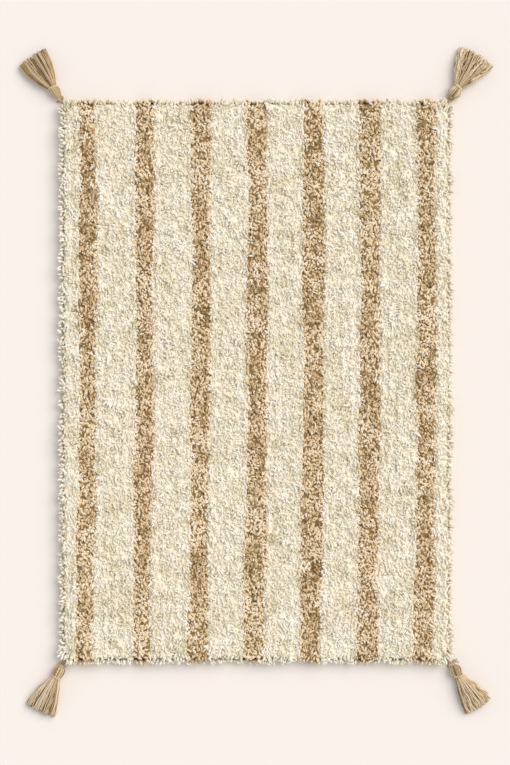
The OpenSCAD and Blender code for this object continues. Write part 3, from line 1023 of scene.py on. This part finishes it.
def binding_piece(c, own):
    """Neck binding: a helix of yarn. place = (start + pitch w / 2 pi + slant cos w, R cos w, R sin w),
    drawn in at both ends, where it is tucked under."""
    yarn_r = 0.85 * MM
    turns = own["turns"]
    w = np.linspace(0, TURN * turns, int(26 * turns)) + 1.1
    share = np.linspace(0, 1, len(w))
    span = neck_end - neck_start - 2 * yarn_r
    tuck = 1.6 * MM * (1 - smooth_step(np.minimum(share, 1 - share) * 7))
    radius = 6.5 * MM - yarn_r - tuck
    run = neck_start + yarn_r + span * share + own["slant"] * 0.8 * MM * np.cos(w)
    path = columns(run, radius * np.cos(w), bar_z + radius * np.sin(w))
    parts = [yarn_part(c, path, yarn_r, (1, 0, 0), 8, 0.66 + own["lighter"])]
    shade_core = np.array([(neck_start - 1 * MM, 0, bar_z), (neck_end + 2 * MM, 0, bar_z)])
    # The core's dark tone 0.2 is painted shade between the binding's turns.
    parts.append(yarn_part(c, rounded_run(shade_core, 4, 0), 4.9 * MM, (0, 0, 1), 16, 0.2))
    yarn_piece(f"binding_{c}_yarn", parts, f"tassel_{c}", f"binding_{c}")


TOP_SHARE = 0.57  # share of a skirt's strands that lie on its upper side


def skirt_heights(t):
    """Heights of the middle lines of the skirt's lowest and highest strands at a share t of its
    length: from the neck's round down to the floor, and over a full middle to the tips."""
    low = bar_z - 5.0 * MM - (bar_z - 5.0 * MM - YARN_R) * smooth_step(t / 0.3)
    high = bar_z + 5.0 * MM + 3.5 * MM * np.sin(np.pi * t) - 4.0 * MM * t**2
    return low, high


def skirt_bed_painted_shade(c, own):
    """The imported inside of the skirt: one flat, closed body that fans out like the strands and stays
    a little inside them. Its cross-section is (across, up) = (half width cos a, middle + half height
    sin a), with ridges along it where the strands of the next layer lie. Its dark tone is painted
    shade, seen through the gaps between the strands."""
    t = np.linspace(0, 0.9, 16)[:, None]
    a = TURN * np.arange(72) / 72
    g = 1 - (1 - t) ** own["bulge"]
    wide = 4.2 * MM * (1 - g) + (own["spread"] - 3.0) * MM * g
    low, high = skirt_heights(t)
    low, high = low + 0.9 * MM * smooth_step(4 * t), high - 2.6 * MM * smooth_step(4 * t)
    ridge = 1 + 0.08 * np.sin(18 * a) * smooth_step(3 * t)
    start = neck_end - 2 * MM
    reach = np.sqrt((skirt_end - 1 * MM) ** 2 - (0.85 * wide * np.cos(a)) ** 2)
    ring = columns(
        start + (reach - start) * t, wide * np.cos(a),
        (high + low) / 2 + ridge * (high - low) / 2 * np.sin(a),
    )[None]
    # Tone 0.12, a dark brown: painted shade.
    return placed(ring, c), placed(ring[:, :, 0], c), np.array([0.12]), 0 * t[:, 0] + 0.5


def skirt_piece(c, own):
    """Skirt: strands that leave the neck evenly over its round, sink to the floor in the first part
    of their way, and fan out to tips on an arc about the eyelet. Across: y0 + (y1 - y0) g(t) with
    g = 1 - (1 - t)^bulge, plus a wave that grows towards the tip."""
    count, rings = own["strands"], 24
    on_top = np.arange(count) < TOP_SHARE * count
    share = np.arange(count) / count
    side = np.where(on_top, share / TOP_SHARE, (share - TOP_SHARE) / (1 - TOP_SHARE)) * 2 - 1
    bunch = np.repeat(rng.normal(0, 0.07, count // 4 + 1), 4)[:count]
    side = 0.65 * side + 0.35 * np.sin(np.pi / 2 * side)
    side = np.clip(0.98 * side + bunch * (1 - side**2) + rng.normal(0, 0.02, count), -1, 1)
    layer = 1 - np.where(on_top, 0.42, 0.2) * np.abs(rng.normal(0, 0.5, count))
    layer = np.where(on_top, layer, -layer)
    round_off = np.sqrt(1 - 0.98 * side**2)
    y0, z0 = side, layer * round_off
    neck_r = 5.0 * MM
    t = np.linspace(0, 1, rings)
    fan = side * own["spread"] * MM
    tip = skirt_end - np.abs(rng.normal(0, own["ragged"] * MM, count)) * (0.4 + 0.6 * np.abs(z0))
    reach = np.sqrt(tip**2 - fan**2)
    start = neck_end - 2 * MM
    x = start + (reach[:, None] - start) * t
    g = 1 - (1 - t) ** own["bulge"]
    length = band_numbers(count, 13 * MM, 24 * MM)[:, None]
    phase = band_numbers(count, 0, TURN)[:, None]
    size = (rng.normal(0.7, 0.4, count) * MM * own["wave"])[:, None]
    wave = size * np.sin(TURN * (x - start) / length + phase) * smooth_step(2 * t)
    bend = rng.normal(0, own["curl"] * MM, count)[:, None] * t**5
    y = y0[:, None] * neck_r * (1 - g) + fan[:, None] * g + wave + bend
    low, high = skirt_heights(t)
    z = (low + high) / 2 + (high - low) / 2 * z0[:, None]
    z = z + 16 * MM * np.where(on_top, bunch, 0)[:, None] * t
    z = z + 0.6 * size * np.cos(TURN * (x - start) / length + 2 * phase) * t
    z = np.maximum(z, YARN_R + 0.15 * MM)
    paths = columns(x, y, z)
    thick = YARN_R * band_numbers(count, 0.8, 1.12)[:, None]
    radii = thick * np.interp(t, [0, 0.12, 0.94, 1], [0.8, 1, 1, 0.72])
    # Each bunch's tone moves with the same number that lifts it: raised bunches are painted lighter and
    # sunken ones darker, painted light and shade on top of the random tone.
    tone = np.clip(rng.normal(0.48 + own["lighter"], 0.23, count) + 0.6 * bunch, 0, 1)
    parts = [yarn_part(c, paths, radii, (0, 0.3, 1), 6, tone), skirt_bed_painted_shade(c, own)]
    yarn_piece(f"skirt_{c}_strands", parts, f"tassel_{c}", f"skirt_{c}")


for c, own in TASSELS.items():
    cord_piece(c, own)
    head_piece(c, own)
    binding_piece(c, own)
    skirt_piece(c, own)

# ------------ floor, light and camera


def studio():
    """Pale matt floor that sweeps up at its far edge, a large soft lamp from the upper right, an
    even sky, and a long lens that looks straight down. The floor is a turned surface of
    (reach, height) = (flat + bend sin a, bend (1 - cos a)), closed in the middle by one flat face."""
    flat, bend, around = 14.0, 4.0, 96
    a = np.radians(np.concatenate([[0, 0], np.linspace(4, 88, 14)]))
    reach = flat + bend * np.sin(a)
    reach[0] = 0.5 * flat
    turn = TURN * np.arange(around) / around
    points = columns(
        reach[:, None] * np.cos(turn), reach[:, None] * np.sin(turn),
        (bend * (1 - np.cos(a)))[:, None] + 0 * turn,
    )
    ring = np.arange(around)
    start = around * np.arange(len(a) - 1)[:, None]
    corners = [start + ring, start + around + ring]
    corners += [np.roll(corners[1], -1, 1), np.roll(corners[0], -1, 1)]
    sweep = np.stack(corners, -1).reshape(-1, 4)
    floor = add_mesh("floor", points, [ring[None], sweep])
    material = bpy.data.materials.new("matt_paper_floor")
    material.use_nodes = True
    shader = material.node_tree.nodes["Principled BSDF"]
    shader.inputs["Base Color"].default_value = colour("#f1e9e4")
    shader.inputs["Roughness"].default_value = 1.0
    shader.inputs["Specular IOR Level"].default_value = 0.0
    floor.data.materials.append(material)

    world = bpy.data.worlds.new("even_sky")
    bpy.context.scene.world = world
    world.use_nodes = True
    sky = world.node_tree.nodes["Background"]
    sky.inputs["Color"].default_value = (0.95, 1.015, 1.06, 1.0)
    sky.inputs["Strength"].default_value = 0.585

    toward_lamp = Vector((0.78, 0.58, 1.15)).normalized()
    lamp_data = bpy.data.lights.new("soft_lamp", "SUN")
    lamp_data.energy = 2.2
    lamp_data.angle = np.radians(50)
    lamp_data.color = (1.0, 0.925, 0.855)
    lamp = bpy.data.objects.new("soft_lamp", lamp_data)
    lamp.rotation_mode = "QUATERNION"
    lamp.rotation_quaternion = toward_lamp.to_track_quat("Z", "Y")
    bpy.context.scene.collection.objects.link(lamp)

    lens = bpy.data.cameras.new("long_lens")
    framed_height = 0.9659
    distance = 4.0
    lens.sensor_width = 36
    lens.lens = 36 * distance / framed_height
    lens.clip_start, lens.clip_end = 0.05, 50
    camera = bpy.data.objects.new("camera", lens)
    camera.location = (-0.0013, -0.0013, distance)
    bpy.context.scene.collection.objects.link(camera)
    bpy.context.scene.camera = camera
    bpy.context.scene.view_settings.view_transform = "Standard"


studio()
